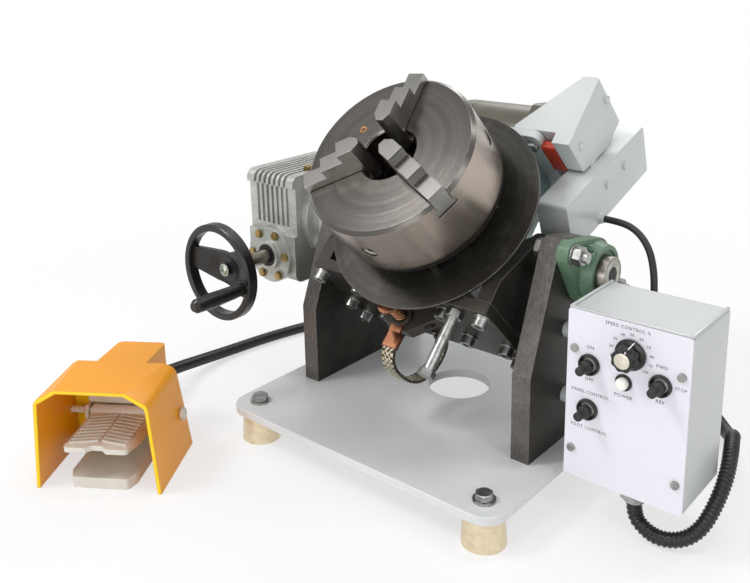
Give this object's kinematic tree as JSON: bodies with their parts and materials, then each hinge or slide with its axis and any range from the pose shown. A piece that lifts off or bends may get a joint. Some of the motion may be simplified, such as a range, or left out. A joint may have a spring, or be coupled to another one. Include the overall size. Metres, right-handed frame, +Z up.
{
  "type": "welding positioner",
  "caption": "Bench welding positioner: motor driven three-jaw chuck on a cradle tilted by a handwheel worm gear, with control box and foot pedal.",
  "frame": {"origin": "centre of the four foot bolt holes, on the bench surface", "axes": "+Z up, +X from the handwheel gearbox to the flange bearing, along the tilt axis, +Y to the back"},
  "size_m": [0.7323, 0.7118, 0.4422],
  "materials": {
    "base_paint": "gloss",
    "foot_brass": "satin",
    "black_oxide": "satin",
    "zinc": "satin",
    "yellow_zinc": "satin",
    "cast_aluminium": "satin",
    "shaft_steel": "satin",
    "ground_steel": "satin",
    "green_casting": "satin",
    "teal_casting": "satin",
    "olive_paint": "satin",
    "grey_paint": "satin",
    "box_paint": "satin",
    "panel_white": "satin",
    "yellow_paint": "satin",
    "pedal_grey": "satin",
    "black_plastic": "satin",
    "black_rubber": "matte",
    "copper": "satin",
    "red_paint": "satin",
    "holder_brown": "matte"
  },
  "bodies": {
    "stand": {"base_plate": "base_paint", "feet": "foot_brass", "stand_screws": "zinc", "left_side_plate": "black_oxide", "right_side_plate": "black_oxide", "gearbox_housing": "cast_aluminium", "gearbox_flange": "cast_aluminium", "input_cover": "cast_aluminium", "gearbox_screws": "yellow_zinc", "bearing_housing": "green_casting", "control_box": "box_paint", "control_panel": "panel_white", "box_fittings": "zinc", "box_bracket": "grey_paint", "pedal_base": "pedal_grey", "pedal_hood": "yellow_paint", "flex_conduit": "black_plastic", "motor_cable": "black_rubber"},
    "cradle": {"left_arm": "black_oxide", "right_arm": "black_oxide", "cradle_plate": "black_oxide", "cradle_screws": "zinc", "left_trunnion": "shaft_steel", "right_trunnion": "shaft_steel", "worm_wheel": "copper", "reducer_housing": "teal_casting", "motor_plate": "grey_paint", "motor": "olive_paint", "motor_gearhead": "olive_paint", "drive_belt": "black_rubber", "belt_guard_lower": "grey_paint", "belt_guard_upper": "grey_paint", "drive_screws": "zinc", "tension_block": "red_paint", "ground_bolt": "zinc", "brush_holder": "holder_brown", "ground_strap": "copper"},
    "spindle": {"spindle_shaft": "shaft_steel", "spatter_disc": "black_oxide", "chuck_backplate": "black_oxide", "chuck_body": "ground_steel"},
    "scroll": {"scroll_plate": "shaft_steel"},
    "jaw_a": {"jaw_1": "black_oxide"},
    "jaw_b": {"jaw_2": "black_oxide"},
    "jaw_c": {"jaw_3": "black_oxide"},
    "pinion_a": {"chuck_pinion_1": "shaft_steel"},
    "pinion_b": {"chuck_pinion_2": "shaft_steel"},
    "pinion_c": {"chuck_pinion_3": "shaft_steel"},
    "hand_drive": {"handwheel": "black_plastic", "worm_shaft": "shaft_steel"},
    "handle": {"handwheel_handle": "black_plastic"},
    "motor_drive": {"motor_pulley": "shaft_steel"},
    "input_drive": {"driven_pulley": "shaft_steel"},
    "brush": {"ground_brush": "copper", "brush_spring": "copper"},
    "knob": {"speed_knob": "black_plastic"},
    "switch_a": {"toggle_1": "black_rubber"},
    "switch_b": {"toggle_2": "black_rubber"},
    "switch_c": {"toggle_3": "black_rubber"},
    "treadle": {"pedal_treadle": "pedal_grey"}
  },
  "joints": [
    {"name": "tilt", "type": "hinge", "parent": "stand", "child": "cradle", "pos_m": [0, 0, 0.234], "axis": [1, 0, 0], "range_deg": [-45, 45]},
    {"name": "spindle_turn", "type": "hinge", "parent": "cradle", "child": "spindle", "pos_m": [0, -0.05303, 0.28703], "axis": [0, -0.7071, 0.7071], "continuous": true},
    {"name": "scroll_turn", "type": "hinge", "parent": "spindle", "child": "scroll", "pos_m": [0, -0.11314, 0.34714], "axis": [0, -0.7071, 0.7071], "range_deg": [-450, 900]},
    {"name": "jaw_a_slide", "type": "slide", "parent": "spindle", "child": "jaw_a", "axis": [-0.0958, 0.7039, 0.7039], "range_m": [-0.0101, 0.0201]},
    {"name": "pinion_a_turn", "type": "hinge", "parent": "spindle", "child": "pinion_a", "pos_m": [0.06513, -0.0718, 0.3715], "axis": [0.8141, 0.4106, 0.4106], "range_deg": [-2255, 4505]},
    {"name": "jaw_b_slide", "type": "slide", "parent": "spindle", "child": "jaw_b", "axis": [-0.8141, -0.4106, -0.4106], "range_m": [-0.0101, 0.0201]},
    {"name": "pinion_b_turn", "type": "hinge", "parent": "spindle", "child": "pinion_b", "pos_m": [-0.0728, -0.08119, 0.36211], "axis": [-0.91, 0.2932, 0.2932], "range_deg": [-2255, 4505]},
    {"name": "jaw_c_slide", "type": "slide", "parent": "spindle", "child": "jaw_c", "axis": [0.91, -0.2932, -0.2932], "range_m": [-0.0101, 0.0201]},
    {"name": "pinion_c_turn", "type": "hinge", "parent": "spindle", "child": "pinion_c", "pos_m": [0.00767, -0.16096, 0.28234], "axis": [0.0958, -0.7039, -0.7039], "range_deg": [-2255, 4505]},
    {"name": "handwheel_turn", "type": "hinge", "parent": "stand", "child": "hand_drive", "pos_m": [-0.255, -0.1, 0.184], "axis": [0, 1, 0], "range_deg": [-1355, 1355]},
    {"name": "handle_spin", "type": "hinge", "parent": "hand_drive", "child": "handle", "pos_m": [-0.205, -0.2, 0.175], "axis": [0, 1, 0], "continuous": true},
    {"name": "motor_turn", "type": "hinge", "parent": "cradle", "child": "motor_drive", "pos_m": [0.11, 0.17359, 0.3185], "axis": [1, 0, 0], "continuous": true},
    {"name": "input_turn", "type": "hinge", "parent": "cradle", "child": "input_drive", "pos_m": [0.11, 0.05834, 0.27819], "axis": [1, 0, 0], "continuous": true},
    {"name": "brush_slide", "type": "slide", "parent": "cradle", "child": "brush", "axis": [0, -0.7071, 0.7071], "range_m": [-0.004, 0], "stiffness_N_per_m": 900, "springref_m": 0.008},
    {"name": "knob_turn", "type": "hinge", "parent": "stand", "child": "knob", "pos_m": [0.2691, -0.11, 0.202], "axis": [0, 1, 0], "range_deg": [-135, 135]},
    {"name": "switch_a_throw", "type": "hinge", "parent": "stand", "child": "switch_a", "pos_m": [0.2274, -0.1006, 0.1793], "axis": [1, 0, 0], "range_deg": [-14, 14]},
    {"name": "switch_b_throw", "type": "hinge", "parent": "stand", "child": "switch_b", "pos_m": [0.2996, -0.1006, 0.1795], "axis": [1, 0, 0], "range_deg": [-14, 14]},
    {"name": "switch_c_throw", "type": "hinge", "parent": "stand", "child": "switch_c", "pos_m": [0.2274, -0.1006, 0.1315], "axis": [1, 0, 0], "range_deg": [-14, 14]},
    {"name": "treadle_press", "type": "hinge", "parent": "stand", "child": "treadle", "pos_m": [-0.26156, -0.31115, 0.052], "axis": [0.8339, 0.5519, 0], "range_deg": [0, 8], "stiffness_Nm_per_rad": 6, "springref_deg": -8.59}
  ],
  "couplings": [
    {"joint": "jaw_a_slide", "follows": "scroll_turn", "m_per_rad": 0.0012732},
    {"joint": "pinion_a_turn", "follows": "scroll_turn", "ratio": 5},
    {"joint": "jaw_b_slide", "follows": "scroll_turn", "m_per_rad": 0.0012732},
    {"joint": "pinion_b_turn", "follows": "scroll_turn", "ratio": 5},
    {"joint": "jaw_c_slide", "follows": "scroll_turn", "m_per_rad": 0.0012732},
    {"joint": "pinion_c_turn", "follows": "scroll_turn", "ratio": 5},
    {"joint": "handwheel_turn", "follows": "tilt", "ratio": 30},
    {"joint": "motor_turn", "follows": "spindle_turn", "ratio": 40},
    {"joint": "input_turn", "follows": "spindle_turn", "ratio": 40}
  ]
}
